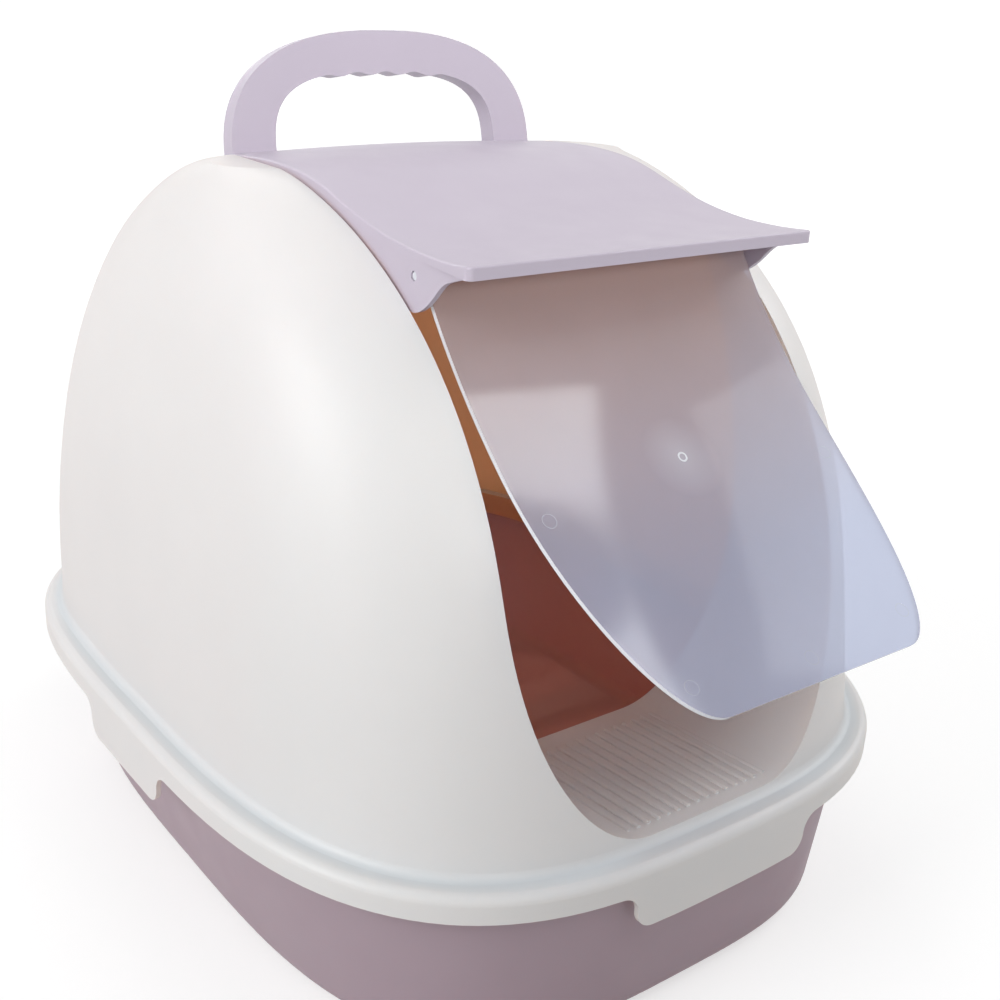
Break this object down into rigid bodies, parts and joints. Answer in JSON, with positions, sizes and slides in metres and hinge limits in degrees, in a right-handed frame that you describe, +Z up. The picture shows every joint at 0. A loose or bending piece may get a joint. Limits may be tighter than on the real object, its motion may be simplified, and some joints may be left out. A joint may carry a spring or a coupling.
{
  "type": "covered litter box",
  "caption": "Egg-shaped covered litter box: flared tray, clip-on hood with a recessed ribbed entry, top cover with an arched carrying handle and a clear swinging flap.",
  "frame": {"origin": "on the floor under the middle of the rim, in the plane of the tray's flat base", "axes": "+Z up, -Y out of the entry, +X to the right seen from the front"},
  "size_m": [0.4, 0.525, 0.4444],
  "materials": {
    "tray": "fine matte, mauve grey",
    "hood": "satin white, slightly translucent",
    "cover": "satin, pale lilac grey",
    "flap": "clear, slightly frosted"
  },
  "bodies": {
    "base": {"base_tray": "tray"},
    "hood": {"hood_shell": "hood", "top_cover": "cover"},
    "flap": {"entry_flap": "flap"}
  },
  "joints": [
    {"name": "hood_lift", "type": "slide", "parent": "base", "child": "hood", "axis": [0, 0, 1], "range_m": [0, 0.15]},
    {"name": "flap_swing", "type": "hinge", "parent": "hood", "child": "flap", "pos_m": [0, -0.111, 0.355], "axis": [-1, 0, 0], "range_deg": [-109, 45]}
  ]
}
